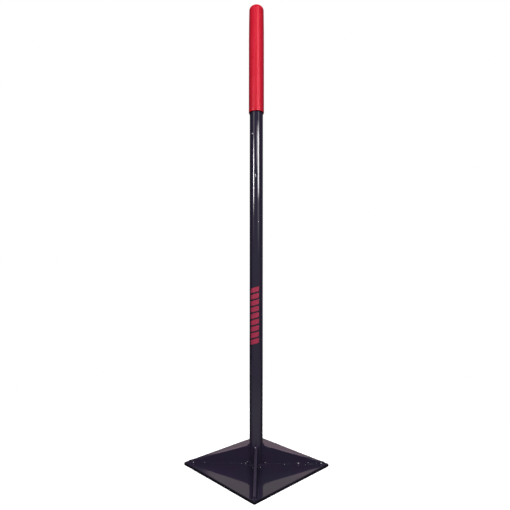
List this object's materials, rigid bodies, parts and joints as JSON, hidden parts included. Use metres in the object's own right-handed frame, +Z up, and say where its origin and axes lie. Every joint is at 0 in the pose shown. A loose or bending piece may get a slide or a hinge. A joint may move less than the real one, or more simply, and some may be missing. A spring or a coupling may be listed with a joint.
{
  "type": "hand tamper",
  "caption": "Hand tamper: square steel foot plate with diagonal gussets welded to an upright steel tube with a push-on red grip, for compacting soil by hand.",
  "frame": {"origin": "centre of the foot plate's underside, on the ground", "axes": "+Z up along the handle tube; +X and +Y along the foot plate's sides, so its corners and gussets lie on the diagonals"},
  "size_m": [0.254, 0.254, 1.143],
  "materials": {
    "black_enamel": "glossy black enamel with a faint navy cast",
    "enamelled_weld": "glossy black enamel over a rippled weld bead",
    "red_vinyl": "satin red dipped vinyl",
    "red_ink": "dark red printed film"
  },
  "bodies": {
    "root": {"base_plate": "black_enamel", "handle_tube": "black_enamel", "gusset_front": "black_enamel", "gusset_right": "black_enamel", "gusset_back": "black_enamel", "gusset_left": "black_enamel", "hand_grip": "red_vinyl", "tube_mark": "red_ink", "weld_plate_front": "enamelled_weld", "weld_plate_right": "enamelled_weld", "weld_plate_back": "enamelled_weld", "weld_plate_left": "enamelled_weld", "weld_tube_front": "enamelled_weld", "weld_tube_right": "enamelled_weld", "weld_tube_back": "enamelled_weld", "weld_tube_left": "enamelled_weld", "weld_foot_front_right": "enamelled_weld", "weld_foot_right_back": "enamelled_weld", "weld_foot_back_left": "enamelled_weld", "weld_foot_left_front": "enamelled_weld"}
  },
  "joints": []
}
